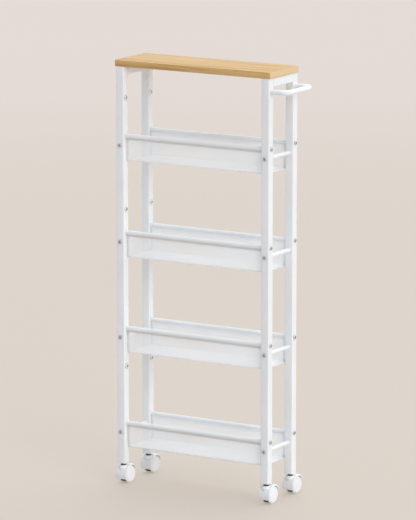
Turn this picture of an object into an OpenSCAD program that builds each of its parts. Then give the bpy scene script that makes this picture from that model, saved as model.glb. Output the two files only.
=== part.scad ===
// Slim rolling utility cart: a wooden top on a square-tube frame, open-ended mesh baskets
// between round rails, a side handle and twin-wheel swivel casters. Millimetres, +Z up. The origin is the
// bottom centre of the whole cart's bounding box: floor level, under the middle.
// +X is the handle end and -Y is the front.

/* [Top board] */
// Length of the wooden top along X
board_l = 410; // [300:5:600]
// Depth of the wooden top along Y
board_d = 130; // [100:5:300]
// Thickness of the wooden top
board_t = 15; // [10:1:25]
// Small chamfer round the upper edge of the top
board_chamfer = 1.2; // [0.4:0.2:4]
// Height of the upper face of the top above the floor
total_h = 996; // [700:2:1300]

/* [Frame] */
// Length of the steel frame along X, over the posts
frame_l = 404; // [280:2:600]
// Depth of the steel frame along Y, over the posts
frame_d = 130; // [90:2:300]
// Side of the square post section
post_s = 20; // [14:1:30]
// Wall of the square post tube
post_wall = 1.2; // [0.8:0.1:2.5]
// Height of the lower end of the posts
post_z0 = 50; // [40:1:90]
// Height of the square bar that joins two posts under the top
top_bar_h = 20; // [14:1:30]

/* [Bars] */
// Diameter of the round rails and cross bars
bar_diam = 10; // [8:0.5:16]
// Bore along the middle of a bar
bar_bore_r = 4; // [3:0.25:6]
// Length of the solid threaded end of a bar
bar_end_l = 14; // [8:1:30]
// Height of the uppermost rail's axis
rail_z = 820.5; // [700:0.5:900]
// Drop from a rail's axis to the cross bar's axis
cross_drop = 21.5; // [14:0.5:40]

/* [Baskets] */
// Number of baskets
basket_n = 4; // [4:1:4]
// Vertical distance from one basket to the next
basket_pitch = 225; // [160:1:300]
// Height of the uppermost basket's underside
basket_z = 761; // [600:1:860]
// Gap between a basket's open end and the posts
basket_gap = 0.3; // [0.1:0.1:2]
// Depth of a basket over its front and rear walls
basket_d = 104; // [80:1:280]
// Sheet thickness of a basket
sheet_t = 0.8; // [0.5:0.1:2]
// Outer radius of the bends between a basket's floor and walls
basket_bend_r = 6; // [2:0.5:15]

/* [Handle] */
// How far the handle stands out past the end of the top
handle_out = 44; // [30:1:80]
// Diameter of the handle tube
handle_diam = 12; // [8:1:20]
// Height of the handle's axis
handle_z = 951; // [800:1:980]
// Centreline radius of the handle's two bends
handle_bend_r = 15; // [10:1:40]

/* [Fasteners] */
// Radius of a bolt's shank
bolt_r = 2.5; // [2:0.1:4]
// Radius of a rail bolt's head
bolt_head_r = 5; // [3:0.1:7]
// Height of a bolt's head
bolt_head_h = 2.6; // [1.5:0.1:4]
// Length of a bolt's shank
bolt_l = 31; // [22:1:40]
// Radius of the round head of a spare-hole screw
screw_head_r = 6; // [3:0.1:8]
// Heights of the spare-hole screws on each post
screw_z = [909, 650, 280];
// Length of a spare-hole screw's shank
screw_l = 8; // [5:1:15]

/* [Casters] */
// Radius of a wheel
wheel_r = 20.5; // [15:0.5:30]
// Distance from the swivel axis back to the axle
trail = 13; // [8:0.5:20]
// Half the width over the two wheels
caster_half_w = 15.3; // [10:0.1:22]
// Half the width of the core between the wheels
core_half_w = 6.6; // [4:0.1:8]
// Inner radius of the hood round the wheels
hood_r_in = 21.2; // [16:0.1:31]
// Outer radius of the hood
hood_r_out = 24.6; // [18:0.1:34]
// Height of the top of the hood's neck
neck_z = 44; // [38:0.1:60]
// Radius of the stem
stem_r = 3.5; // [3:0.1:6]
// Radius of the axle
axle_r = 2; // [1.5:0.1:3]

/* [Hidden] */

paint = [0.93, 0.93, 0.93];
mesh_white = [0.86, 0.87, 0.87];
oak = [0.85, 0.72, 0.53];
plastic_white = [0.90, 0.90, 0.90];
plastic_dark = [0.10, 0.10, 0.11];
steel = [0.62, 0.63, 0.65];

eps = 0.01;
cut = 1;
fine = 48;
medium = 28;
small = 16;

board_z = total_h - board_t;
post_x = frame_l / 2 - post_s / 2;
post_y = frame_d / 2 - post_s / 2;
post_l = board_z - post_z0;
post_in = post_s - 2 * post_wall;
gap_l = frame_l - 2 * post_s;
gap_d = frame_d - 2 * post_s;
bar_r = bar_diam / 2;
hole_r = bolt_r + 0.1;
thread_r = bolt_r + 0.05;
weld_gap = 0.05;
basket_l = gap_l - 2 * basket_gap;
wall_in = post_y - basket_d / 2;
wall_top_z = rail_z - sqrt(bar_r * bar_r - wall_in * wall_in) - weld_gap;
basket_h = wall_top_z - basket_z;
handle_r = handle_diam / 2;
handle_x = board_l / 2 + handle_out - handle_r;
handle_bore_r = handle_r - 1.4;
head_crown = 0.55;

insert_flange_t = 1;
insert_l = 30;
insert_slack = 0.02;
stem_fit = 0.02;
collar_r = 5.6;
collar_z = neck_z + 0.3;
stem_top = post_z0 + 26;
stem_z0 = 24;
run_fit = 0.06;
neck_r = 9;
core_r = 19;
core_top_r = 6.8;
core_front = 6;
core_z0 = 2;
core_top_z = 43.4;
core_slack = 0.05;
hood_half_w = 15;
hood_front_z = 12;
hood_rear_z = 31;
wheel_gap = 0.4;
wheel_w = caster_half_w - core_half_w - wheel_gap;
wheel_face = 1.2;
wheel_dish = 0.6;
wheel_edge = 1.6;
wheel_hub_r = 5;
wheel_well_r = 16.5;
wheel_well_depth = 5;
axle_half_l = 13;

top_screw_r = 2;
top_screw_l = 30;
top_screw_head_r = 3.8;
top_screw_head_h = 2;
top_screw_y = 30;

x_min = -(post_x + caster_half_w);
x_max = board_l / 2 + handle_out;
y_min = -(frame_d / 2 + bolt_head_h);
hood_rear_up = hood_rear_z - wheel_r;
y_max = post_y + trail + sqrt(hood_r_out * hood_r_out - hood_rear_up * hood_rear_up);
shift = [-(x_min + x_max) / 2, -(y_min + y_max) / 2, 0];

function level_drop(k) = -basket_pitch * (k - 1);

// Everything is designed about the middle of the frame and then moved to the origin.
module placed() {
  translate(shift)
    children();
}

// Points a child that is built along +Z towards the +X or -X side.
module along_x(side) {
  rotate([0, side * 90, 0])
    children();
}

// Points a child that is built along +Z towards the +Y or -Y side.
module along_y(side) {
  rotate([-side * 90, 0, 0])
    children();
}

module board() {
  difference() {
    hull() {
      translate([-board_l / 2, -board_d / 2, board_z])
        cube([board_l, board_d, board_t - board_chamfer]);
      translate([-board_l / 2 + board_chamfer, -board_d / 2 + board_chamfer, board_z])
        cube([board_l - 2 * board_chamfer, board_d - 2 * board_chamfer, board_t]);
    }
    for (sx = [-1, 1])
      for (sy = [-1, 1])
        translate([sx * post_x, sy * top_screw_y, board_z - cut])
          cylinder(r = top_screw_r + 0.02, h = top_screw_l - top_bar_h + cut + 0.3, $fn = small);
  }
}

module post(sx, sy) {
  translate([sx * post_x, sy * post_y, 0])
    difference() {
      translate([-post_s / 2, -post_s / 2, post_z0])
        cube([post_s, post_s, post_l]);
      translate([-post_in / 2, -post_in / 2, post_z0 - cut])
        cube([post_in, post_in, post_l + 2 * cut]);
      for (k = [1:basket_n])
        post_holes(sx, sy, level_drop(k));
      for (z = screw_z)
        translate([0, 0, z])
          along_x(-sx)
            cylinder(r = hole_r, h = post_s, $fn = small);
      if (sx > 0)
        translate([-post_s, 0, handle_z])
          along_x(1)
            cylinder(r = hole_r, h = 2 * post_s, $fn = small);
    }
}

// The rail bolt's hole goes through both walls along X, the cross bar bolt's along Y.
module post_holes(sx, sy, drop) {
  translate([-post_s, 0, rail_z + drop])
    along_x(1)
      cylinder(r = hole_r, h = 2 * post_s, $fn = small);
  translate([0, -post_s, rail_z - cross_drop + drop])
    along_y(1)
      cylinder(r = hole_r, h = 2 * post_s, $fn = small);
}

module top_bar(sx) {
  translate([sx * post_x, 0, board_z - top_bar_h])
    difference() {
      translate([-post_s / 2, -gap_d / 2, 0])
        cube([post_s, gap_d, top_bar_h]);
      translate([-post_in / 2, -gap_d / 2 - cut, post_wall])
        cube([post_in, gap_d + 2 * cut, top_bar_h - 2 * post_wall]);
      for (sy = [-1, 1])
        translate([0, sy * top_screw_y, -cut])
          cylinder(r = top_screw_r + 0.1, h = top_bar_h + 2 * cut, $fn = small);
    }
}

// A round tube with solid threaded ends, standing on the XY plane.
module bar(l) {
  difference() {
    cylinder(r = bar_r, h = l, $fn = medium);
    translate([0, 0, -cut])
      cylinder(r = thread_r, h = l + 2 * cut, $fn = small);
    translate([0, 0, bar_end_l])
      cylinder(r = bar_bore_r, h = l - 2 * bar_end_l, $fn = small);
  }
}

module rail(sy, k) {
  translate([-gap_l / 2, sy * post_y, rail_z + level_drop(k)])
    along_x(1)
      bar(gap_l);
}

module cross_bar(sx, k) {
  translate([sx * post_x, -gap_d / 2, rail_z - cross_drop + level_drop(k)])
    along_y(1)
      bar(gap_d);
}

// A quarter of a thin tube along X, from a basket's floor up into one wall.
module basket_bend(side) {
  translate([-basket_l / 2, side * (basket_d / 2 - basket_bend_r), basket_bend_r])
    intersection() {
      difference() {
        along_x(1)
          cylinder(r = basket_bend_r, h = basket_l, $fn = fine);
        translate([-cut, 0, 0])
          along_x(1)
            cylinder(r = basket_bend_r - sheet_t, h = basket_l + 2 * cut, $fn = fine);
      }
      translate([0, side > 0 ? 0 : -basket_bend_r, -basket_bend_r])
        cube([basket_l, basket_bend_r, basket_bend_r]);
    }
}

// A thin sheet bent up along its two long sides, open at both ends and welded to the rails.
module basket(k) {
  flat_d = basket_d - 2 * basket_bend_r;
  translate([0, 0, basket_z + level_drop(k)]) {
    translate([-basket_l / 2, -flat_d / 2, 0])
      cube([basket_l, flat_d, sheet_t]);
    for (side = [-1, 1]) {
      basket_bend(side);
      translate([-basket_l / 2, side > 0 ? basket_d / 2 - sheet_t : -basket_d / 2, basket_bend_r])
        cube([basket_l, sheet_t, basket_h - basket_bend_r]);
    }
  }
}

module handle_path(r, inset) {
  leg_l = handle_x - frame_l / 2 - handle_bend_r;
  for (sy = [-1, 1]) {
    translate([frame_l / 2 + inset, sy * post_y, handle_z])
      along_x(1)
        cylinder(r = r, h = leg_l - inset, $fn = medium);
    translate([handle_x - handle_bend_r, sy * (post_y - handle_bend_r), handle_z])
      rotate([0, 0, sy > 0 ? 0 : -90])
        rotate_extrude(angle = 90, $fn = fine)
          translate([handle_bend_r, 0])
            circle(r = r, $fn = medium);
  }
  translate([handle_x, -(post_y - handle_bend_r), handle_z])
    along_y(1)
      cylinder(r = r, h = 2 * (post_y - handle_bend_r), $fn = medium);
}

module handle_tube() {
  difference() {
    handle_path(handle_r, 0);
    handle_path(handle_bore_r, bar_end_l);
    for (sy = [-1, 1])
      translate([frame_l / 2 - cut, sy * post_y, handle_z])
        along_x(1)
          cylinder(r = thread_r, h = bar_end_l + 2 * cut, $fn = small);
  }
}

// A round-headed bolt: the head stands on the XY plane and the shank runs down from it.
module bolt(head_r, l) {
  rotate_extrude($fn = small)
    polygon([[0, -l], [bolt_r, -l], [bolt_r, 0], [head_r, 0], [head_r, bolt_head_h * head_crown],
      [head_r * head_crown, bolt_head_h], [0, bolt_head_h]]);
}

module all_rail_bolts() {
  for (sx = [-1, 1])
    for (sy = [-1, 1])
      for (k = [1:basket_n])
        translate([sx * frame_l / 2, sy * post_y, rail_z + level_drop(k)])
          along_x(sx)
            bolt(bolt_head_r, bolt_l);
}

module all_cross_bolts() {
  for (sx = [-1, 1])
    for (sy = [-1, 1])
      for (k = [1:basket_n])
        translate([sx * post_x, sy * frame_d / 2, rail_z - cross_drop + level_drop(k)])
          along_y(sy)
            bolt(bolt_head_r, bolt_l);
}

module all_handle_bolts() {
  for (sy = [-1, 1])
    translate([frame_l / 2 - post_s, sy * post_y, handle_z])
      along_x(-1)
        bolt(bolt_head_r, bolt_l);
}

module all_spare_screws() {
  for (sx = [-1, 1])
    for (sy = [-1, 1])
      for (z = screw_z)
        translate([sx * (frame_l / 2 - post_s), sy * post_y, z])
          along_x(-sx)
            bolt(screw_head_r, screw_l);
}

module all_top_screws() {
  for (sx = [-1, 1])
    for (sy = [-1, 1])
      translate([sx * post_x, sy * top_screw_y, board_z - top_bar_h])
        rotate_extrude($fn = small)
          polygon([[0, -top_screw_head_h], [top_screw_head_r, -top_screw_head_h],
            [top_screw_head_r, 0], [top_screw_r, 0], [top_screw_r, top_screw_l], [0, top_screw_l]]);
}

// A moulded plug in the foot of each post, with the socket for a caster's stem.
module all_post_inserts() {
  for (sx = [-1, 1])
    for (sy = [-1, 1])
      translate([sx * post_x, sy * post_y, post_z0])
        difference() {
          union() {
            translate([-post_s / 2, -post_s / 2, -insert_flange_t])
              cube([post_s, post_s, insert_flange_t]);
            translate([-post_in / 2 + insert_slack, -post_in / 2 + insert_slack, -eps])
              cube([post_in - 2 * insert_slack, post_in - 2 * insert_slack, insert_l]);
          }
          translate([0, 0, -insert_flange_t - cut])
            cylinder(r = stem_r + stem_fit, h = insert_l, $fn = small);
        }
}

// A plain pin with a round collar that the hood turns under.
module all_caster_stems() {
  for (sx = [-1, 1])
    for (sy = [-1, 1])
      translate([sx * post_x, sy * post_y, 0])
        rotate_extrude($fn = medium)
          polygon([[0, stem_z0], [stem_r, stem_z0], [stem_r, collar_z], [collar_r, collar_z],
            [collar_r, post_z0 - insert_flange_t], [stem_r, post_z0 - insert_flange_t],
            [stem_r, stem_top], [0, stem_top]]);
}

// Places a caster piece at its post, with the swivel axis through the child's own Z axis.
module at_caster(sx, sy) {
  translate([sx * post_x, sy * post_y, 0])
    children();
}

// A round solid about the axle, centred between the wheels.
module axle_round(r, half_w, fn) {
  translate([-half_w, trail, wheel_r])
    along_x(1)
      cylinder(r = r, h = 2 * half_w, $fn = fn);
}

// The dark core between the wheels, bored for the stem and the axle.
module core() {
  difference() {
    union() {
      intersection() {
        axle_round(core_r, core_half_w, fine);
        translate([-core_half_w, trail - core_r, core_z0])
          cube([2 * core_half_w, 2 * core_r, 2 * core_r]);
      }
      translate([-core_half_w, -core_front, wheel_r - core_front])
        cube([2 * core_half_w, trail, trail]);
      intersection() {
        translate([0, 0, wheel_r])
          cylinder(r = core_top_r, h = core_top_z - wheel_r, $fn = medium);
        translate([-core_half_w, -core_top_r, wheel_r])
          cube([2 * core_half_w, 2 * core_top_r, core_top_z]);
      }
    }
    translate([0, 0, stem_z0 - 0.4])
      cylinder(r = stem_r + run_fit, h = core_top_z, $fn = medium);
    axle_round(axle_r + eps, core_half_w + cut, small);
  }
}

// The white hood: a curved shell round both wheels with a short neck under the collar.
module hood() {
  difference() {
    union() {
      axle_round(hood_r_out, hood_half_w, fine);
      translate([0, 0, wheel_r])
        cylinder(r = neck_r, h = neck_z - wheel_r, $fn = medium);
    }
    axle_round(hood_r_in, hood_half_w + cut, fine);
    translate([0, 0, -cut])
      cylinder(r = core_top_r + core_slack, h = neck_z + 2 * cut, $fn = medium);
    translate([-hood_half_w - cut, -2 * hood_r_out, -2 * hood_r_out])
      cube([2 * hood_half_w + 2 * cut, 4 * hood_r_out, 2 * hood_r_out + hood_front_z]);
    translate([-hood_half_w - cut, trail, 0])
      cube([2 * hood_half_w + 2 * cut, 2 * hood_r_out, hood_rear_z]);
  }
}

module axle() {
  axle_round(axle_r, axle_half_l, small);
}

// One wheel: a rounded tread, a shallow outer face and a well round the hub inside.
module wheel(side) {
  translate([side * (core_half_w + wheel_gap), trail, wheel_r])
    along_x(side)
      rotate_extrude($fn = fine)
        polygon([[axle_r + run_fit, 0], [wheel_hub_r, 0], [wheel_hub_r, wheel_well_depth],
          [wheel_well_r, wheel_well_depth], [wheel_well_r, 0], [wheel_r - wheel_edge, 0],
          [wheel_r, wheel_edge], [wheel_r, wheel_w - wheel_edge - wheel_dish],
          [wheel_r - wheel_edge, wheel_w - wheel_dish], [wheel_well_r, wheel_w],
          [0, wheel_w], [0, wheel_w - wheel_face], [axle_r + run_fit, wheel_w - wheel_face]]);
}

module wood_top() color(oak) placed() board();
module post_left_front() color(paint) placed() post(-1, -1);
module post_left_rear() color(paint) placed() post(-1, 1);
module post_right_front() color(paint) placed() post(1, -1);
module post_right_rear() color(paint) placed() post(1, 1);
module top_bar_left() color(paint) placed() top_bar(-1);
module top_bar_right() color(paint) placed() top_bar(1);
module rail_front_1() color(paint) placed() rail(-1, 1);
module rail_front_2() color(paint) placed() rail(-1, 2);
module rail_front_3() color(paint) placed() rail(-1, 3);
module rail_front_4() color(paint) placed() rail(-1, 4);
module rail_rear_1() color(paint) placed() rail(1, 1);
module rail_rear_2() color(paint) placed() rail(1, 2);
module rail_rear_3() color(paint) placed() rail(1, 3);
module rail_rear_4() color(paint) placed() rail(1, 4);
module cross_left_1() color(paint) placed() cross_bar(-1, 1);
module cross_left_2() color(paint) placed() cross_bar(-1, 2);
module cross_left_3() color(paint) placed() cross_bar(-1, 3);
module cross_left_4() color(paint) placed() cross_bar(-1, 4);
module cross_right_1() color(paint) placed() cross_bar(1, 1);
module cross_right_2() color(paint) placed() cross_bar(1, 2);
module cross_right_3() color(paint) placed() cross_bar(1, 3);
module cross_right_4() color(paint) placed() cross_bar(1, 4);
module basket_1() color(mesh_white) placed() basket(1);
module basket_2() color(mesh_white) placed() basket(2);
module basket_3() color(mesh_white) placed() basket(3);
module basket_4() color(mesh_white) placed() basket(4);
module handle() color(paint) placed() handle_tube();
module rail_bolts() color(steel) placed() all_rail_bolts();
module cross_bolts() color(steel) placed() all_cross_bolts();
module handle_bolts() color(steel) placed() all_handle_bolts();
module spare_screws() color(paint) placed() all_spare_screws();
module top_screws() color(steel) placed() all_top_screws();
module post_inserts() color(plastic_white) placed() all_post_inserts();
module caster_stems() color(plastic_dark) placed() all_caster_stems();
module core_left_front() color(plastic_dark) placed() at_caster(-1, -1) core();
module hood_left_front() color(plastic_white) placed() at_caster(-1, -1) hood();
module axle_left_front() color(steel) placed() at_caster(-1, -1) axle();
module wheel_left_front_a() color(plastic_white) placed() at_caster(-1, -1) wheel(-1);
module wheel_left_front_b() color(plastic_white) placed() at_caster(-1, -1) wheel(1);
module core_left_rear() color(plastic_dark) placed() at_caster(-1, 1) core();
module hood_left_rear() color(plastic_white) placed() at_caster(-1, 1) hood();
module axle_left_rear() color(steel) placed() at_caster(-1, 1) axle();
module wheel_left_rear_a() color(plastic_white) placed() at_caster(-1, 1) wheel(-1);
module wheel_left_rear_b() color(plastic_white) placed() at_caster(-1, 1) wheel(1);
module core_right_front() color(plastic_dark) placed() at_caster(1, -1) core();
module hood_right_front() color(plastic_white) placed() at_caster(1, -1) hood();
module axle_right_front() color(steel) placed() at_caster(1, -1) axle();
module wheel_right_front_a() color(plastic_white) placed() at_caster(1, -1) wheel(-1);
module wheel_right_front_b() color(plastic_white) placed() at_caster(1, -1) wheel(1);
module core_right_rear() color(plastic_dark) placed() at_caster(1, 1) core();
module hood_right_rear() color(plastic_white) placed() at_caster(1, 1) hood();
module axle_right_rear() color(steel) placed() at_caster(1, 1) axle();
module wheel_right_rear_a() color(plastic_white) placed() at_caster(1, 1) wheel(-1);
module wheel_right_rear_b() color(plastic_white) placed() at_caster(1, 1) wheel(1);

wood_top();
post_left_front();
post_left_rear();
post_right_front();
post_right_rear();
top_bar_left();
top_bar_right();
rail_front_1();
rail_front_2();
rail_front_3();
rail_front_4();
rail_rear_1();
rail_rear_2();
rail_rear_3();
rail_rear_4();
cross_left_1();
cross_left_2();
cross_left_3();
cross_left_4();
cross_right_1();
cross_right_2();
cross_right_3();
cross_right_4();
basket_1();
basket_2();
basket_3();
basket_4();
handle();
rail_bolts();
cross_bolts();
handle_bolts();
spare_screws();
top_screws();
post_inserts();
caster_stems();
core_left_front();
hood_left_front();
axle_left_front();
wheel_left_front_a();
wheel_left_front_b();
core_left_rear();
hood_left_rear();
axle_left_rear();
wheel_left_rear_a();
wheel_left_rear_b();
core_right_front();
hood_right_front();
axle_right_front();
wheel_right_front_a();
wheel_right_front_b();
core_right_rear();
hood_right_rear();
axle_right_rear();
wheel_right_rear_a();
wheel_right_rear_b();
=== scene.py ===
import math

import bmesh
import bpy
import numpy as np
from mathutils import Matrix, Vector


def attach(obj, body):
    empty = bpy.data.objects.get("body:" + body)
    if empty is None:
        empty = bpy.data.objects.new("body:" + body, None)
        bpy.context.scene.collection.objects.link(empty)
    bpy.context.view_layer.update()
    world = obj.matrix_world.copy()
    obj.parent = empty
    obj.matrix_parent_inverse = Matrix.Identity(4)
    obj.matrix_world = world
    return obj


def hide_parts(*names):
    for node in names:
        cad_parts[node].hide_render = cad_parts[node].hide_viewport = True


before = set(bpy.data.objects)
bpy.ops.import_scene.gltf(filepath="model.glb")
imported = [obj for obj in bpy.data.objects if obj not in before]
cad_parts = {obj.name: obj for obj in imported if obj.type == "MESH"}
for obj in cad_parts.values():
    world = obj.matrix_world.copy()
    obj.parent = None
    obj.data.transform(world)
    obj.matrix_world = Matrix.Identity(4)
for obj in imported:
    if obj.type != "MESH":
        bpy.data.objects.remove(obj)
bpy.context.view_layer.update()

# ---------------------------------------------------------------- sizes, in metres
SHIFT = np.array([-0.02085, -0.011323285, 0.0])  # where the middle of the four posts stands
CORNERS = (("left_front", -1, -1), ("left_rear", -1, 1), ("right_front", 1, -1), ("right_rear", 1, 1))

# Wood top
TOP_Z = 0.996
BOARD_L, BOARD_D, BOARD_T = 0.410, 0.130, 0.015
BOARD_EDGE, BOARD_CORNER = 0.0013, 0.0022

# Posts and the bars between them
POST_S, POST_WALL, POST_ROUND, TUBE_LIP = 0.020, 0.0012, 0.0018, 0.0003
POST_X, POST_Y = 0.192, 0.055
POST_Z0, POST_Z1 = 0.050, TOP_Z - BOARD_T
OUT_X, IN_X = POST_X + POST_S / 2, POST_X - POST_S / 2
OUT_Y, IN_Y = POST_Y + POST_S / 2, POST_Y - POST_S / 2
TOP_BAR_H = 0.020
BAR_R, BAR_CHAMFER = 0.005, 0.0004
RAIL_Z, CROSS_DROP = 0.8205, 0.0215
LEVELS, PITCH = 4, 0.225

# Handle
HANDLE_R, HANDLE_X, HANDLE_Z, HANDLE_BEND = 0.006, 0.243, 0.951, 0.015

# Baskets: one folded sheet each, with a solid border and an expanded mesh
BASKET_Z, BASKET_D, BASKET_H = 0.761, 0.104, 0.05545
BASKET_GAP = 0.0003
BASKET_L = 2 * (IN_X - BASKET_GAP)
SHEET, BEND_R = 0.0008, 0.006
TOP_BAND, END_BAND, LAP = 0.0065, 0.0072, 0.0012
CELL_L, CELL_S, WIRE_T = 0.0054, 0.0031, 0.0005
WALL_STRAND, WALL_TWIST = 0.00104, -0.00032
FLOOR_STRAND, FLOOR_TWIST = 0.00135, 0.0
WALL, FLAT = BASKET_H - BEND_R, BASKET_D - 2 * BEND_R
ARC = (BEND_R - SHEET / 2) * math.pi / 2
SPREAD = 2 * WALL + 2 * ARC + FLAT

# Bolts and screws
HEAD_R, SPARE_HEAD_R, HEAD_H = 0.0050, 0.0060, 0.0026
SOCKET_R, SOCKET_DEEP, SOCKET_LEAD, SOCKET_TIP = 0.0025, 0.0014, 0.00015, 0.0003
SPARE_Z = (0.909, 0.650, 0.280)

# Casters
WHEEL_R, TRAIL = 0.0205, 0.013
HOOD_IN, HOOD_OUT, HOOD_HALF_W = 0.0212, 0.0246, 0.015
HOOD_FRONT_Z, HOOD_REAR_Z = 0.0115, 0.031
HOOD_SHOULDER, HOOD_CROWN, HOOD_BORE = 0.0020, 0.0003, 0.0069
NECK_Z = 0.0440
# The hood's neck as (radius, height): a flare that rises out of the shell and rounds over at the top.
NECK_PROFILE = ((0.0098, 0.0215), (0.0098, 0.0300), (0.0102, 0.0340), (0.0112, 0.0380), (0.0103, 0.0395),
                (0.0096, 0.0413), (0.0091, 0.0428), (0.0086, 0.0437), (0.0080, NECK_Z))
CORE_HALF_W, WHEEL_GAP, WHEEL_W = 0.0066, 0.0004, 0.0073
AXLE_BORE, HUB_R, WELL_R, WELL_DEEP, FACE_T = 0.00206, 0.0050, 0.0165, 0.0050, 0.0012
TREAD_ROUND = 0.0016
RIM_STEP, RIM_STEP_START, RIM_STEP_END = 0.0004, 0.0048, 0.0040
RIM_IN, RIM_ROUND_R, RIM_DROP, RIM_ROUND_W = 0.0040, 0.0028, 0.0036, 0.0026
WHEEL_TIP = 0.0004  # the radius its turned outline closes at
# The wheel's outer face as (radius, depth): a fine groove and then a shallow dome.
FACE_PROFILE = ((0.0172, 0.0009), (0.0170, 0.0012), (0.0166, 0.0012), (0.0164, 0.0008),
                (0.0140, 0.0004), (0.0100, 0.0001), (0.0050, 0.0), (WHEEL_TIP, 0.0))
STEM_R, STEM_Z0, STEM_Z1, STEM_CHAMFER = 0.0035, 0.024, 0.076, 0.0003
COLLAR_R, COLLAR_GAP, FLANGE_T = 0.0056, 0.0003, 0.0010
COLLAR_STEP, COLLAR_STEP_START, COLLAR_STEP_END = 0.0004, 0.0016, 0.0014


# ---------------------------------------------------------------- node helpers
class Tree:
    """A short way to build a material's nodes."""

    def __init__(self, name):
        self.mat = bpy.data.materials.new(name)
        self.mat.use_nodes = True
        self.t = self.mat.node_tree
        self.bsdf = self.t.nodes["Principled BSDF"]
        self.coord = self.t.nodes.new("ShaderNodeTexCoord").outputs["Object"]

    def node(self, kind, ins=None, **props):
        n = self.t.nodes.new("ShaderNode" + kind)
        for k, v in props.items():
            setattr(n, k, v)
        for k, v in (ins or {}).items():
            self.put(n.inputs[k], v)
        return n

    def put(self, socket, v):
        if isinstance(v, bpy.types.NodeSocket):
            self.t.links.new(v, socket)
        else:
            socket.default_value = v

    def stretched(self, scale, vec=None):
        return self.node("Mapping", {"Vector": vec or self.coord, "Scale": scale}).outputs["Vector"]

    def noise(self, scale, detail=3.0, rough=0.5, vec=None, distortion=0.0):
        n = self.node("TexNoise", {"Vector": vec or self.coord, "Scale": scale, "Detail": detail,
                                   "Roughness": rough, "Distortion": distortion})
        return n.outputs["Fac"]

    def span(self, v, a, b, c, d, smooth=False):
        """Maps a value from the range a to b onto the range c to d."""
        n = self.node("MapRange", {"Value": v, "From Min": a, "From Max": b, "To Min": c, "To Max": d})
        if smooth:
            n.interpolation_type = "SMOOTHSTEP"
        return n.outputs["Result"]

    def math(self, op, a, b=0.0):
        n = self.node("Math", operation=op)
        self.put(n.inputs[0], a)
        self.put(n.inputs[1], b)
        return n.outputs[0]

    def vector_math(self, op, a, b, output="Vector"):
        n = self.node("VectorMath", operation=op)
        self.put(n.inputs[0], a)
        self.put(n.inputs[1], b)
        return n.outputs[output]

    def mix(self, fac, a, b):
        n = self.node("Mix", data_type="RGBA")
        self.put(n.inputs["Factor"], fac)
        self.put(n.inputs["A"], a)
        self.put(n.inputs["B"], b)
        return n.outputs["Result"]

    def bump(self, height, strength, distance):
        ins = {"Height": height, "Strength": strength, "Distance": distance}
        return self.node("Bump", ins).outputs["Normal"]

    def edges(self, radius):
        """1 on a sharp edge and 0 on a flat face."""
        soft = self.node("Bevel", {"Radius": radius}, samples=6).outputs["Normal"]
        plain = self.node("NewGeometry").outputs["Normal"]
        return self.span(self.vector_math("DOT_PRODUCT", soft, plain, "Value"), 1.0, 0.94, 0.0, 1.0)

    def crevice(self, reach):
        """1 where another surface is close by and 0 in the open."""
        ao = self.node("AmbientOcclusion", {"Distance": reach}, samples=6).outputs["AO"]
        return self.span(ao, 0.25, 0.95, 1.0, 0.0)

    def set(self, **ins):
        for k, v in ins.items():
            self.put(self.bsdf.inputs[k.replace("_", " ")], v)
        return self.mat


# ---------------------------------------------------------------- materials
def grey(v, warm=0.0):
    return (v + warm, v, v - warm, 1.0)


def paint(name, base, peel=0.10, edge=True, crevice_shade=0.0, cool=0.009):
    """White powder coat: a fine orange peel, faint dust, slightly rubbed edges and painted shade in
    crevices.
    """
    t = Tree(name)
    cloud = t.noise(9.0, 4.0, 0.6)
    fine = t.noise(750.0, 2.0, 0.55)
    speck = t.noise(2600.0, 1.0)
    clouded = t.span(cloud, 0.35, 0.65, 0.0, 1.0)
    col = t.mix(clouded, grey(base * 0.965, -cool), grey(base * 1.01, -cool))
    col = t.mix(t.span(speck, 0.62, 0.78, 0.0, 0.18), col, grey(base * 0.80))
    rough = t.span(cloud, 0.3, 0.7, 0.34, 0.46)
    if edge:
        rubbed = t.span(t.noise(160.0, 3.0), 0.45, 0.62, 0.15, 0.75)
        worn = t.math("MULTIPLY", t.edges(0.0011), rubbed)
        col = t.mix(worn, col, grey(min(1.0, base * 1.07)))
        rough = t.math("SUBTRACT", rough, t.math("MULTIPLY", worn, 0.10))
    # Painted shade: the colour darkens towards a third of the base wherever other surfaces are close by.
    if crevice_shade:
        col = t.mix(t.math("MULTIPLY", t.crevice(0.008), crevice_shade), col, grey(base * 0.35))
    return t.set(Base_Color=col, Roughness=rough, Specular_IOR_Level=0.45,
                 Normal=t.bump(fine, peel, 0.00012))


def moulded(name, base, tint=0.0, rough=0.30, grain=0.05):
    """Moulded plastic: a faint flow pattern, fine texture and scuffed edges."""
    t = Tree(name)
    flow = t.noise(26.0, 3.0, 0.5, distortion=0.6)
    fine = t.noise(1800.0, 2.0)
    scuff = t.noise(420.0, 3.0, 0.65)
    col = t.mix(t.span(flow, 0.35, 0.65, 0.0, 1.0), grey(base * 0.96, tint), grey(base * 1.02, tint))
    worn = t.math("MULTIPLY", t.edges(0.0008), t.span(scuff, 0.45, 0.65, 0.0, 0.5))
    col = t.mix(worn, col, grey(min(1.0, base * 1.06 + 0.02), tint))
    matt = t.span(scuff, 0.3, 0.75, rough - 0.04, rough + 0.10)
    return t.set(Base_Color=col, Roughness=t.math("ADD", matt, t.math("MULTIPLY", worn, 0.08)),
                 Normal=t.bump(fine, grain, 0.00008), IOR=1.49)


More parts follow.
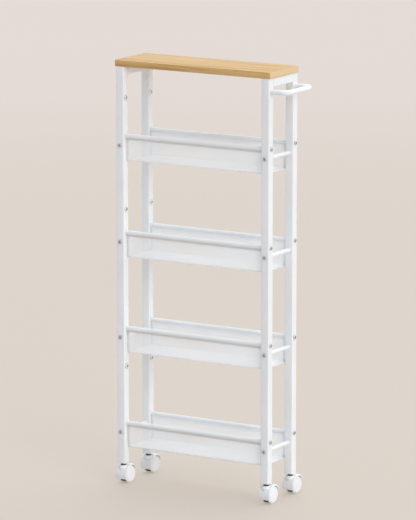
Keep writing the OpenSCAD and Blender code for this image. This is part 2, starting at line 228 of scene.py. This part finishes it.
def metal(name, base, rough, crevice_shade=0.0):
    """Plated steel with fine turning marks and painted shade in its recesses."""
    t = Tree(name)
    marks = t.noise(1500.0, 2.0, vec=t.stretched((1.0, 1.0, 0.15)))
    dull = t.noise(90.0, 4.0, 0.6)
    col = t.mix(t.span(dull, 0.35, 0.7, 0.0, 1.0), grey(base * 0.85), grey(base * 1.05))
    # Painted shade: the colour darkens to near black wherever other surfaces are close by, as in the
    # sockets.
    if crevice_shade:
        col = t.mix(t.math("MULTIPLY", t.crevice(0.004), crevice_shade), col, grey(base * 0.03))
    return t.set(Base_Color=col, Metallic=1.0, Roughness=t.span(dull, 0.3, 0.7, rough - 0.06, rough + 0.10),
                 Normal=t.bump(marks, 0.08, 0.00008))


OAK_LIGHT = (0.720, 0.475, 0.215, 1.0)
OAK_MID = (0.630, 0.385, 0.150, 1.0)
OAK_DARK = (0.400, 0.205, 0.055, 1.0)
OAK_PORE = (0.33, 0.19, 0.08, 1.0)
OAK_END = (0.86, 0.68, 0.44, 1.0)
OAK_WORN = (0.80, 0.60, 0.36, 1.0)


def grain_coords(t, end):
    """Coordinates with X along the grain, which runs along Y on the two end faces and wanders a little."""
    xyz = t.node("SeparateXYZ", {"Vector": t.coord}).outputs
    swapped = t.node("CombineXYZ", {"X": xyz["Y"], "Y": xyz["X"], "Z": xyz["Z"]}).outputs["Vector"]
    pick = t.node("Mix", data_type="VECTOR")
    t.put(pick.inputs["Factor"], end)
    t.put(pick.inputs["A"], t.coord)
    t.put(pick.inputs["B"], swapped)
    along = pick.outputs["Result"]
    wander = t.noise(5.0, 2.0, vec=t.stretched((1.0, 6.0, 6.0), along))
    sway = {"X": 0.0, "Y": t.span(wander, 0.0, 1.0, -0.006, 0.006),
            "Z": t.span(wander, 0.0, 1.0, -0.003, 0.003)}
    return t.vector_math("ADD", along, t.node("CombineXYZ", sway).outputs["Vector"])


def oak_board(name):
    """Light oak foil: long straight grain with pores on every face."""
    t = Tree(name)
    normal = t.node("NewGeometry").outputs["Normal"]
    nx = t.node("SeparateXYZ", {"Vector": normal}).outputs["X"]
    end = t.math("GREATER_THAN", t.math("ABSOLUTE", nx), 0.75)
    grain = grain_coords(t, end)
    broad = t.noise(46.0, 3.0, 0.55, vec=t.stretched((0.05, 1.0, 1.0), grain))
    bands = t.noise(190.0, 3.0, 0.6, vec=t.stretched((0.022, 1.0, 1.0), grain))
    fibre = t.noise(900.0, 2.0, 0.6, vec=t.stretched((0.03, 1.0, 1.0), grain))
    pores = t.noise(1300.0, 2.0, 0.5, vec=t.stretched((0.05, 1.0, 1.0), grain))
    pore = t.span(pores, 0.60, 0.70, 0.0, 1.0)
    col = t.mix(t.span(broad, 0.34, 0.66, 0.0, 1.0), OAK_LIGHT, OAK_MID)
    col = t.mix(t.span(bands, 0.46, 0.68, 0.0, 0.75), col, OAK_DARK)
    col = t.mix(t.span(fibre, 0.45, 0.80, 0.0, 0.40), col, OAK_MID)
    col = t.mix(t.math("MULTIPLY", pore, 0.45), col, OAK_PORE)
    col = t.mix(t.math("MULTIPLY", end, 0.55), col, OAK_END)
    col = t.mix(t.math("MULTIPLY", t.edges(0.0014), 0.35), col, OAK_WORN)
    height = t.math("ADD", t.math("MULTIPLY", fibre, 0.6), t.math("MULTIPLY", pore, -0.5))
    return t.set(Base_Color=col, Roughness=t.span(bands, 0.3, 0.7, 0.46, 0.60), Specular_IOR_Level=0.25,
                 Normal=t.bump(height, 0.22, 0.00018))


# frame_paint, sheet_paint, bolt_steel and screw_steel darken near other surfaces as painted shade:
# sheet_paint strongly under the rails and beside the posts, the two steels in the sockets.
PAINT = paint("frame_paint", 0.88, crevice_shade=0.05)
# The mesh's paint is a lighter copy of the border's paint on the same sheet: painted light for strands that
# catch light from above.
LIT_MESH_PAINT = paint("mesh_paint", 0.96, peel=0.05, edge=False, cool=0.001)
SHEET_PAINT = paint("sheet_paint", 0.90, peel=0.05, edge=False, crevice_shade=0.62, cool=0.003)
BOLT_STEEL = metal("bolt_steel", 0.76, 0.48, crevice_shade=0.78)
SCREW_STEEL = metal("screw_steel", 0.93, 0.42, crevice_shade=0.80)
OAK = oak_board("oak_foil")
WHITE_PLASTIC = moulded("white_plastic", 0.86, -0.008, rough=0.27)
WHEEL_PLASTIC = moulded("wheel_plastic", 0.90, -0.006, rough=0.34)
INSERT_PLASTIC = moulded("insert_plastic", 0.78, 0.002, rough=0.45, grain=0.12)
# The caster cores are near black: painted shade for the deep gap between each caster's two wheels.
SHADE_DARK_PLASTIC = moulded("shade_dark_plastic", 0.022, 0.0, rough=0.50, grain=0.15)
STEEL = metal("plated_steel", 0.58, 0.30)
# The stems are real steel pins, coloured near black as painted shade for the gap between each post and its
# hood.
SHADE_DARK_STEEL = metal("dark_steel", 0.09, 0.45)


# ---------------------------------------------------------------- mesh helpers
# A shape is a pair: a list of points and a list of faces.
def mesh_of(name, verts, faces, smooth=True, angle=40):
    """A mesh, shaded smooth unless told otherwise, with edges sharp past an angle in degrees."""
    me = bpy.data.meshes.new(name)
    me.from_pydata([tuple(map(float, v)) for v in verts], [], [tuple(map(int, f)) for f in faces])
    me.validate()
    me.update()
    if smooth:
        me.polygons.foreach_set("use_smooth", [True] * len(me.polygons))
        me.set_sharp_from_angle(angle=math.radians(angle))
    return me


def outward(me):
    """Turns all faces of a closed mesh outward."""
    bm = bmesh.new()
    bm.from_mesh(me)
    bmesh.ops.recalc_face_normals(bm, faces=bm.faces)
    if bm.calc_volume(signed=True) < 0:
        bmesh.ops.reverse_faces(bm, faces=bm.faces)
    bm.to_mesh(me)
    bm.free()
    return me


def placed_object(name, data):
    ob = bpy.data.objects.new(name, data)
    bpy.context.scene.collection.objects.link(ob)
    return ob


def piece(name, me, mat, body, node):
    """A visible piece that rides on a body and stands for a CAD node."""
    ob = placed_object(name, outward(me))
    me.materials.append(mat)
    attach(ob, body)
    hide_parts(node)


def joined(shapes):
    """Several closed shapes as one."""
    verts, faces = [], []
    for v, f in shapes:
        n = len(verts)
        verts += [tuple(p) for p in v]
        faces += [tuple(i + n for i in face) for face in f]
    return verts, faces


def moved(shape, rows, offset):
    """A shape turned by the rows of a matrix and then moved."""
    m, o = np.array(rows, float), np.array(offset, float)
    return [tuple(m @ np.array(p) + o) for p in shape[0]], shape[1]


def loft(rings, capped=True):
    """Joins rings of equal length, each a closed loop of points, into a skin."""
    n = len(rings[0])
    verts = [tuple(p) for r in rings for p in r]
    faces = []
    for k in range(len(rings) - 1):
        for i in range(n):
            j = (i + 1) % n
            faces.append((k * n + i, k * n + j, (k + 1) * n + j, (k + 1) * n + i))
    if capped:
        faces.append(tuple(reversed(range(n))))
        faces.append(tuple(range((len(rings) - 1) * n, len(rings) * n)))
    return verts, faces


def circle(r, z, n):
    """A ring of n points. The radius may be an array with one value for each point."""
    a = np.arange(n) * 2 * math.pi / n
    return np.stack([r * np.cos(a), r * np.sin(a), np.full(n, z)], 1)


def lathe(profile, n):
    """A solid turned about Z from points of radius and height."""
    return loft([circle(r, z, n) for r, z in profile])


def quarter(steps, first=0):
    """Angles of a quarter turn in equal steps."""
    return [math.radians(90 * i / steps) for i in range(first, steps + 1)]


def rounded_rect(hx, hy, r, steps=5):
    """A rectangle's outline with round corners, from its half sizes."""
    points = []
    for sx, sy, start in ((1, 1, 0), (-1, 1, 90), (-1, -1, 180), (1, -1, 270)):
        for a in quarter(steps):
            q = math.radians(start) + a
            points.append((sx * (hx - r) + r * math.cos(q), sy * (hy - r) + r * math.sin(q)))
    return points


def square_tube(z0, z1, s):
    """A square tube with rounded edges, standing on Z."""
    outer = rounded_rect(s / 2, s / 2, POST_ROUND)
    inner = rounded_rect(s / 2 - POST_WALL, s / 2 - POST_WALL, POST_ROUND - POST_WALL)
    eased = rounded_rect(s / 2 - TUBE_LIP, s / 2 - TUBE_LIP, POST_ROUND - TUBE_LIP)
    outlines = ((inner, z0), (eased, z0), (outer, z0 + TUBE_LIP), (outer, z1 - TUBE_LIP), (eased, z1),
                (inner, z1), (inner, z0))
    return loft([[(x, y, z) for x, y in outline] for outline, z in outlines], capped=False)


UPRIGHT = ((1, 0, 0), (0, 1, 0), (0, 0, 1))
TO_X = ((0, 0, 1), (0, 1, 0), (-1, 0, 0))      # local +Z becomes +X
TO_NEG_X = ((0, 0, -1), (0, 1, 0), (1, 0, 0))
TO_Y = ((1, 0, 0), (0, 0, 1), (0, -1, 0))      # local +Z becomes +Y
TO_NEG_Y = ((1, 0, 0), (0, 0, -1), (0, 1, 0))


def on_cart(shape, rows, place):
    """A shape turned and put at a place that is measured from the middle of the posts."""
    return moved(shape, rows, np.array(place) + SHIFT)


def one(name, shape, rows, place, mat, body, node, angle=40):
    """A piece made of a single shape."""
    piece(name, mesh_of(name, *on_cart(shape, rows, place), angle=angle), mat, body, node)


# ---------------------------------------------------------------- top, posts, bars
def board_shape():
    """The board with eased lower edges and rounder upper ones, as (inset, height) outlines."""
    e, t = BOARD_EDGE, BOARD_T
    steps = ((e, 0.0), (e * 0.3, e * 0.3), (0.0, e), (0.0, t - e), (e * 0.12, t - e * 0.5),
             (e * 0.5, t - e * 0.12), (e, t))
    return loft([[(x, y, z) for x, y in rounded_rect(BOARD_L / 2 - inset, BOARD_D / 2 - inset, BOARD_CORNER)]
                 for inset, z in steps])


def bar_shape(length):
    c, r = BAR_CHAMFER, BAR_R
    return lathe([(r - c, 0), (r, c), (r, length - c), (r - c, length)], 40)


one("wood_board", board_shape(), UPRIGHT, (0, 0, TOP_Z - BOARD_T), OAK, "frame", "wood_top",
    angle=30)

for where, sx, sy in CORNERS:
    one(f"post_{where}_tube", square_tube(POST_Z0, POST_Z1, POST_S), UPRIGHT, (sx * POST_X, sy * POST_Y, 0),
        PAINT, "frame", f"post_{where}")

for side, sx in (("left", -1), ("right", 1)):
    one(f"top_bar_{side}_tube", square_tube(0, 2 * IN_Y, TOP_BAR_H), TO_Y,
        (sx * POST_X, -IN_Y, POST_Z1 - TOP_BAR_H / 2), PAINT, "frame", f"top_bar_{side}")

for k in range(LEVELS):
    z = RAIL_Z - PITCH * k
    for word, sy in (("front", -1), ("rear", 1)):
        name = f"rail_{word}_{k + 1}"
        one(name + "_tube", bar_shape(2 * IN_X), TO_X, (-IN_X, sy * POST_Y, z), PAINT, "frame", name)
    for word, sx in (("left", -1), ("right", 1)):
        name = f"cross_{word}_{k + 1}"
        one(name + "_tube", bar_shape(2 * IN_Y), TO_Y, (sx * POST_X, -IN_Y, z - CROSS_DROP), PAINT, "frame",
            name)


# ---------------------------------------------------------------- handle
def handle_shape(n=36, steps=14):
    """A round tube along X, round a bend, across along Y and back."""
    centre = HANDLE_X - HANDLE_BEND
    path = [(OUT_X, -POST_Y), (centre, -POST_Y)]
    for a in quarter(steps, first=1):
        path.append((centre + HANDLE_BEND * math.sin(a), -POST_Y + HANDLE_BEND - HANDLE_BEND * math.cos(a)))
    path += [(px, -py) for px, py in reversed(path)]
    rings = []
    for i, (px, py) in enumerate(path):
        d = np.subtract(path[min(i + 1, len(path) - 1)], path[max(i - 1, 0)])
        d /= np.linalg.norm(d)
        rings.append([(px + u * d[1], py - u * d[0], w) for u, w, _ in circle(HANDLE_R, 0.0, n)])
    return loft(rings)


one("handle_tube", handle_shape(), UPRIGHT, (0, 0, HANDLE_Z), PAINT, "frame", "handle")


# ---------------------------------------------------------------- bolts
def bolt_shape(head_r, n=36):
    """A low round head with a hexagon socket, standing on the XY plane."""
    a = np.arange(n) * 2 * math.pi / n
    wedge = np.mod(a, math.pi / 3) - math.pi / 6
    hexagon = SOCKET_R * math.cos(math.pi / 6) / np.cos(wedge)
    profile = [(head_r * 0.93, 0.0), (head_r, HEAD_H * 0.12), (head_r, HEAD_H * 0.35)]
    for degrees in (20, 40, 60, 78):
        q = math.radians(degrees)
        profile.append((head_r * (0.60 + 0.40 * math.cos(q)), HEAD_H * (0.35 + 0.65 * math.sin(q))))
    profile += [(SOCKET_R * 1.08, HEAD_H), (hexagon, HEAD_H - SOCKET_LEAD), (hexagon, HEAD_H - SOCKET_DEEP),
                (SOCKET_TIP, HEAD_H - SOCKET_DEEP - SOCKET_TIP)]
    return lathe(profile, n)


def bolt_group(name, places, head_r, node, mat):
    heads = joined(on_cart(bolt_shape(head_r), rows, place) for rows, place in places)
    piece(name, mesh_of(name, *heads, angle=35), mat, "frame", node)


rail_places, cross_places, spare_places = [], [], []
for where, sx, sy in CORNERS:
    for k in range(LEVELS):
        z = RAIL_Z - PITCH * k
        rail_places.append((TO_X if sx > 0 else TO_NEG_X, (sx * OUT_X, sy * POST_Y, z)))
        cross_places.append((TO_Y if sy > 0 else TO_NEG_Y, (sx * POST_X, sy * OUT_Y, z - CROSS_DROP)))
    for z in SPARE_Z:
        spare_places.append((TO_NEG_X if sx > 0 else TO_X, (sx * IN_X, sy * POST_Y, z)))
handle_places = [(TO_NEG_X, (IN_X, sy * POST_Y, HANDLE_Z)) for sy in (-1, 1)]
bolt_group("rail_bolt_heads", rail_places, HEAD_R, "rail_bolts", BOLT_STEEL)
bolt_group("cross_bolt_heads", cross_places, HEAD_R, "cross_bolts", BOLT_STEEL)
bolt_group("handle_bolt_heads", handle_places, HEAD_R, "handle_bolts", BOLT_STEEL)
bolt_group("spare_screw_heads", spare_places, SPARE_HEAD_R, "spare_screws", SCREW_STEEL)


# ---------------------------------------------------------------- baskets
# A basket's sheet is drawn flat first: u runs along the cart, s from the front wall's upper edge over the
# floor to the rear wall's upper edge, and d through the sheet, positive towards the inside of the basket.
def strand_at(s):
    """Strand width and twist: the walls' strands are twisted, and the floor's lie flat and are wider."""
    wall = min(max((abs(s - SPREAD / 2) - FLAT / 2) / ARC, 0.0), 1.0)
    width = FLOOR_STRAND + (WALL_STRAND - FLOOR_STRAND) * wall
    return width, FLOOR_TWIST + (WALL_TWIST - FLOOR_TWIST) * wall


def lattice(u0, u1, s0, s1):
    """Expanded mesh: diamond bonds, each with four slightly twisted strands to its neighbours."""
    nu, ns = int(round((u1 - u0) / CELL_L * 2)), int(round((s1 - s0) / CELL_S * 2))
    du, ds = (u1 - u0) / nu, (s1 - s0) / ns
    tilt, half = math.atan2(ds, du), WIRE_T / 2
    index, verts, faces = {}, [], []
    for i in range(nu + 1):
        for j in range(i % 2, ns + 1, 2):
            u, s = u0 + i * du, s0 + j * ds
            index[i, j] = len(verts)
            strand, twist = strand_at(s)
            ru, rs = strand / 2 / math.sin(tilt), strand / 2 / math.cos(tilt)
            for d in (half, -half):
                verts += [(u + ru, s, d), (u, s + rs, d + twist), (u - ru, s, d), (u, s - rs, d - twist)]
    for (i, j), a in index.items():
        faces += [(a, a + 1, a + 2, a + 3), (a + 7, a + 6, a + 5, a + 4)]
        for k, (di, dj) in enumerate(((1, 1), (-1, 1), (-1, -1), (1, -1))):
            if (i + di, j + dj) not in index:
                p, q = a + k, a + (k + 1) % 4
                faces.append((q, p, p + 4, q + 4))
        for dj, p, q, r, s in ((1, 0, 3, 2, 1), (-1, 3, 2, 1, 0)):
            b = index.get((i + 1, j + dj))
            if b is None:
                continue
            # from this bond's edge (p, s) to the next bond's edge (q, r)
            faces += [(a + p, b + q, b + r, a + s), (a + s + 4, b + r + 4, b + q + 4, a + p + 4),
                      (a + p + 4, b + q + 4, b + q, a + p), (a + s, b + r, b + r + 4, a + s + 4)]
    return verts, faces


def fold(points):
    """Bends flat points into the basket's front wall, floor and rear wall."""
    out, mid, hd = [], BEND_R - SHEET / 2, BASKET_D / 2
    for u, s, d in points:
        side = -1 if s < SPREAD / 2 else 1
        t = s if side < 0 else SPREAD - s
        if t < WALL:
            y, z = hd - SHEET / 2 - d, BASKET_H - t
        elif t < WALL + ARC:
            q = (t - WALL) / mid
            y, z = hd - BEND_R + (mid - d) * math.cos(q), BEND_R - (mid - d) * math.sin(q)
        else:
            y, z = hd - BEND_R - (t - WALL - ARC), SHEET / 2 + d
        out.append((u, side * y, z))
    return out


def border():
    """The solid border of a basket's sheet: upper bands and folded end bands round one long window."""
    hl, half = BASKET_L / 2, SHEET / 2
    down = [0.0, TOP_BAND, WALL] + [WALL + ARC * i / 8 for i in range(1, 9)]
    rows = down + [SPREAD - q for q in reversed(down)]
    cols, last = (-hl, -hl + END_BAND, hl - END_BAND, hl), len(rows) - 1

    def solid(i, j):
        return 0 <= i < last and 0 <= j < 3 and (i in (0, last - 1) or j in (0, 2))

    def at(i, j, far):
        return far * len(rows) * 4 + i * 4 + j

    verts = [(u, s, d) for d in (half, -half) for s in rows for u in cols]
    faces = []
    for i in range(last):
        for j in range(3):
            if not solid(i, j):
                continue
            ring = [(i, j), (i, j + 1), (i + 1, j + 1), (i + 1, j)]
            faces += [tuple(at(*p, 0) for p in ring), tuple(at(*p, 1) for p in reversed(ring))]
            for k, (di, dj) in enumerate(((-1, 0), (0, 1), (1, 0), (0, -1))):
                if not solid(i + di, j + dj):
                    p, q = ring[k], ring[(k + 1) % 4]
                    faces.append((at(*q, 0), at(*p, 0), at(*p, 1), at(*q, 1)))
    return verts, faces


def basket_mesh(name, flat, mat, **shading):
    me = outward(mesh_of(name, fold(flat[0]), flat[1], **shading))
    me.materials.append(mat)
    return me


half_l, upper = BASKET_L / 2 - END_BAND + LAP, TOP_BAND - LAP
net = lattice(-half_l, half_l, upper, SPREAD - upper)
BASKET_PARTS = {"mesh": basket_mesh("basket_lattice", net, LIT_MESH_PAINT, smooth=False),
                "border": basket_mesh("basket_border", border(), SHEET_PAINT, angle=50)}

for k in range(LEVELS):
    for word, me in BASKET_PARTS.items():
        ob = placed_object(f"basket_{k + 1}_{word}", me)
        ob.location = (SHIFT[0], SHIFT[1], BASKET_Z - PITCH * k)
        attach(ob, "frame")
        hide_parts(f"basket_{k + 1}")


# ---------------------------------------------------------------- casters
def hood_section():
    """The shell's section across its width as (x, radius), with rounded shoulders and a slight crown."""
    w, c = HOOD_HALF_W, HOOD_SHOULDER
    flat, turn_r = w - c, HOOD_OUT - c
    left = [(-flat - c * math.cos(a), turn_r + c * math.sin(a)) for a in quarter(5, first=1)]
    crown = []
    for i in range(1, 8):
        x = -flat + 2 * flat * i / 8
        crown.append((x, HOOD_OUT + HOOD_CROWN * (1 - (x / flat) ** 2)))
    right = [(flat + c * math.cos(a), turn_r + c * math.sin(a)) for a in reversed(quarter(5))]
    return [(-w, HOOD_IN), (-w, turn_r)] + left + crown + right + [(w, HOOD_IN)]


def hood_shell(steps=40):
    """The shell swept round the axle, from low at the front over the top to the back."""
    start = math.pi + math.asin((WHEEL_R - HOOD_FRONT_Z) / HOOD_OUT)
    end = math.asin((HOOD_REAR_Z - WHEEL_R) / HOOD_OUT)
    rings = []
    for i in range(steps + 1):
        a = start + (end - start) * i / steps
        rings.append([(x, TRAIL + r * math.cos(a), WHEEL_R + r * math.sin(a)) for x, r in hood_section()])
    return loft(rings)


def carved(shape, *steps):
    """Adds closed shapes to a closed shape or cuts them out of it, one after another.

    Each step is a pair: the word UNION or DIFFERENCE and a shape.
    """
    shapes = [shape] + [other for _, other in steps]
    obs = [placed_object("solid", outward(mesh_of("solid", *solid))) for solid in shapes]
    for ob, (operation, _) in zip(obs[1:], steps):
        mod = obs[0].modifiers.new(operation, "BOOLEAN")
        mod.operation, mod.solver, mod.object = operation, "EXACT", ob
    bpy.context.view_layer.update()
    me = obs[0].evaluated_get(bpy.context.evaluated_depsgraph_get()).to_mesh()
    out = [tuple(v.co) for v in me.vertices], [tuple(p.vertices) for p in me.polygons]
    for ob in obs:
        bpy.data.meshes.remove(ob.data)
    return out


def hood_shape():
    """The shell and its flared neck in one skin, open inside for the wheels and bored for the core."""
    # The neck is cut back to a little inside the shell's thickness, and both cutters reach well past it.
    within, reach = HOOD_IN + 0.001, HOOD_HALF_W + 0.005
    wheels = moved(lathe([(within, -reach), (within, reach)], 96), TO_X, (0, TRAIL, WHEEL_R))
    bore = lathe([(HOOD_BORE, 0.005), (HOOD_BORE, 0.060)], 64)
    return carved(lathe(NECK_PROFILE, 36), ("DIFFERENCE", wheels), ("UNION", hood_shell()),
                  ("DIFFERENCE", bore))


def wheel_shape():
    """One wheel: the inner face with hub, well and blind bore on the XY plane, and the outer face up."""
    w, r, edge = WHEEL_W, WHEEL_R, TREAD_ROUND
    profile = [(WHEEL_TIP, w - FACE_T), (AXLE_BORE, w - FACE_T), (AXLE_BORE, 0.0), (HUB_R, 0.0),
               (HUB_R, WELL_DEEP), (WELL_R, WELL_DEEP), (WELL_R, 0.0), (r - edge, 0.0)]
    profile += [(r - edge + edge * math.sin(a), edge - edge * math.cos(a)) for a in quarter(5, first=1)]
    profile += [(r, w - RIM_STEP_START), (r - RIM_STEP, w - RIM_STEP_END)]
    profile += [(r - RIM_IN + RIM_ROUND_R * math.cos(a), w - RIM_DROP + RIM_ROUND_W * math.sin(a))
                for a in quarter(5)]
    profile += [(radius, w - depth) for radius, depth in FACE_PROFILE]
    return lathe(profile, 64)


def stem_shape():
    """The stem with the collar under the post, standing on Z; its steel is coloured near black as painted
    shade for the gap between post and hood.
    """
    c, r, z0, z1 = STEM_CHAMFER, STEM_R, NECK_Z + COLLAR_GAP, POST_Z0 - FLANGE_T
    rim = COLLAR_R - COLLAR_STEP
    return lathe([(r - c, STEM_Z0), (r, STEM_Z0 + c), (r, z0), (COLLAR_R - c, z0), (COLLAR_R, z0 + c),
                  (COLLAR_R, z1 - COLLAR_STEP_START), (rim, z1 - COLLAR_STEP_END), (rim, z1), (r, z1),
                  (r, STEM_Z1 - c), (r - c, STEM_Z1)], 40)


stems = joined(on_cart(stem_shape(), UPRIGHT, (sx * POST_X, sy * POST_Y, 0)) for _, sx, sy in CORNERS)
piece("caster_stem_pins", mesh_of("stems", *stems, angle=30), SHADE_DARK_STEEL, "frame", "caster_stems")

hood = hood_shape()
for where, sx, sy in CORNERS:
    x, y = sx * POST_X, sy * POST_Y
    one(f"hood_{where}_shell", hood, UPRIGHT, (x, y, 0), WHITE_PLASTIC, f"caster_{where}", f"hood_{where}")
    for ab, side in (("a", -1), ("b", 1)):
        place = (x + side * (CORE_HALF_W + WHEEL_GAP), y + TRAIL, WHEEL_R)
        one(f"wheel_{where}_{ab}_disc", wheel_shape(), TO_X if side > 0 else TO_NEG_X, place, WHEEL_PLASTIC,
            f"roller_{where}_{ab}", f"wheel_{where}_{ab}", angle=30)


# ---------------------------------------------------------------- looks of the carried-over nodes
CARRIED = {"post_inserts": INSERT_PLASTIC, "top_screws": STEEL}
for where, _, _ in CORNERS:
    # Near-black cores: painted shade for the gap between the wheels.
    CARRIED["core_" + where] = SHADE_DARK_PLASTIC
    CARRIED["axle_" + where] = STEEL
for node_name, mat in CARRIED.items():
    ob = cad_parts[node_name]
    ob.data.materials.clear()
    ob.data.materials.append(mat)


# ---------------------------------------------------------------- floor, light and camera
FLOOR_HALF = 60.0
FLOOR_COLOURS = (0.302, 0.262, 0.227, 1.0), (0.308, 0.267, 0.232, 1.0)
GLOW_NEAR, GLOW_FAR = (3.4, (0.365, 0.333, 0.302, 1.0)), (7.0, (0.412, 0.378, 0.372, 1.0))


def studio_floor():
    """A pale floor that glows softly, a little lighter far from the cart."""
    t = Tree("studio_floor")
    col = t.mix(t.noise(0.8, 2.0), *FLOOR_COLOURS)
    away = t.node("VectorMath", {0: t.coord}, operation="LENGTH").outputs["Value"]
    far = t.span(away, GLOW_NEAR[0], GLOW_FAR[0], 0.0, 1.0, smooth=True)
    t.set(Base_Color=col, Roughness=0.9, Specular_IOR_Level=0.0, Emission_Strength=1.0,
          Emission_Color=t.mix(far, GLOW_NEAR[1], GLOW_FAR[1]))
    corners = [(sx * FLOOR_HALF, sy * FLOOR_HALF, 0) for sx, sy in ((-1, -1), (1, -1), (1, 1), (-1, 1))]
    me = mesh_of("floor", corners, [(0, 1, 2, 3)], smooth=False)
    me.materials.append(t.mat)
    placed_object("floor", me)


def studio_light(even, slope, least=(0.02, 0.02, 0.02)):
    """An even soft light that grows brighter one way: slope is its rise along world X, Y and Z."""
    world = bpy.data.worlds.new("studio")
    bpy.context.scene.world = world
    world.use_nodes = True
    t = world.node_tree

    def step(operation, source, value, output="Vector"):
        n = t.nodes.new("ShaderNodeVectorMath")
        n.operation = operation
        t.links.new(source, n.inputs[0])
        n.inputs[1].default_value = value
        return n.outputs[output]

    way = t.nodes.new("ShaderNodeTexCoord").outputs["Generated"]
    light = step("ADD", step("DOT_PRODUCT", way, slope, "Value"), even)
    t.links.new(step("MAXIMUM", light, least), t.nodes["Background"].inputs["Color"])


def look_along(ob, back):
    """Turns a lamp or camera to look against the direction back."""
    ob.rotation_mode = "QUATERNION"
    ob.rotation_quaternion = (-back).to_track_quat("-Z", "Y")


def lamp(name, strength, turn, rise, width):
    """A wide soft lamp, turned from the right towards the front and raised, all angles in degrees."""
    a, e = math.radians(turn), math.radians(rise)
    light = bpy.data.lights.new(name, "SUN")
    light.energy, light.angle = strength, math.radians(width)
    ob = placed_object(name, light)
    toward = Vector((math.cos(e) * math.cos(a), -math.cos(e) * math.sin(a), math.sin(e)))
    ob.location = toward * 3.0
    look_along(ob, toward)


def studio_camera(eye, azimuth, elevation, lens):
    """A camera without shift. Its azimuth turns from the front towards the right, in degrees."""
    a, e = math.radians(azimuth), math.radians(elevation)
    cam = bpy.data.cameras.new("camera")
    cam.lens, cam.sensor_width, cam.clip_end = lens, 36.0, 100.0
    ob = placed_object("camera", cam)
    ob.location = eye
    look_along(ob, Vector((math.sin(a) * math.cos(e), -math.cos(a) * math.cos(e), math.sin(e))))
    bpy.context.scene.camera = ob


studio_floor()
studio_light(even=(0.300, 0.360, 0.420), slope=(0.000, 0.312, 0.95))
lamp("side_lamp", 1.30, 25.0, 15.0, 40.0)
lamp("back_lamp", 0.60, -100.0, 55.0, 50.0)
studio_camera((4.44675988, -7.490655945, 2.22819316), 30.825203, 10.970792, 267.8589)
bpy.context.scene.view_settings.view_transform = "Standard"
